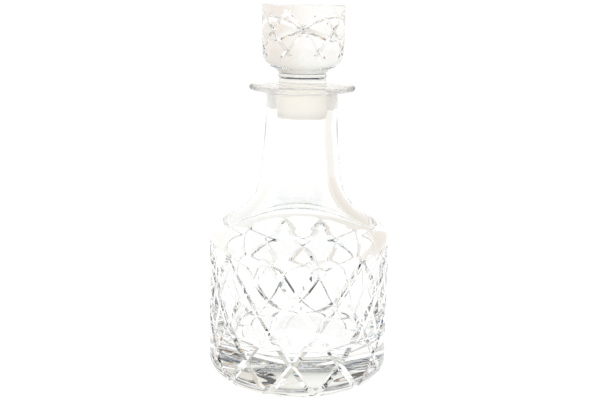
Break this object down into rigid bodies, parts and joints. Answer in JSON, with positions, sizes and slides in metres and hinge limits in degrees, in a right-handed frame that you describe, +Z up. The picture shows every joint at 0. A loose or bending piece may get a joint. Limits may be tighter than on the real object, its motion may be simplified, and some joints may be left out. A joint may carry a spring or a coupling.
{
  "type": "wine decanter",
  "caption": "Cut-glass wine decanter with a straight body, thick base, slender flared neck, flat lip and a lift-out ground-in stopper.",
  "frame": {"origin": "centre of the flat face that the decanter stands on", "axes": "+Z up along the axis of the decanter; -Y is the front, where a crossing of the cuts faces the viewer"},
  "size_m": [0.116, 0.116, 0.24],
  "materials": {
    "body_glass": "polished clear cut crystal, ground inside the neck",
    "stopper_glass": "polished clear cut crystal, ground on the plug"
  },
  "bodies": {
    "decanter": {"decanter_body": "body_glass"},
    "stopper": {"stopper": "stopper_glass"}
  },
  "joints": [
    {"name": "stopper_lift", "type": "slide", "parent": "decanter", "child": "stopper", "axis": [0, 0, 1], "range_m": [0, 0.08]}
  ]
}
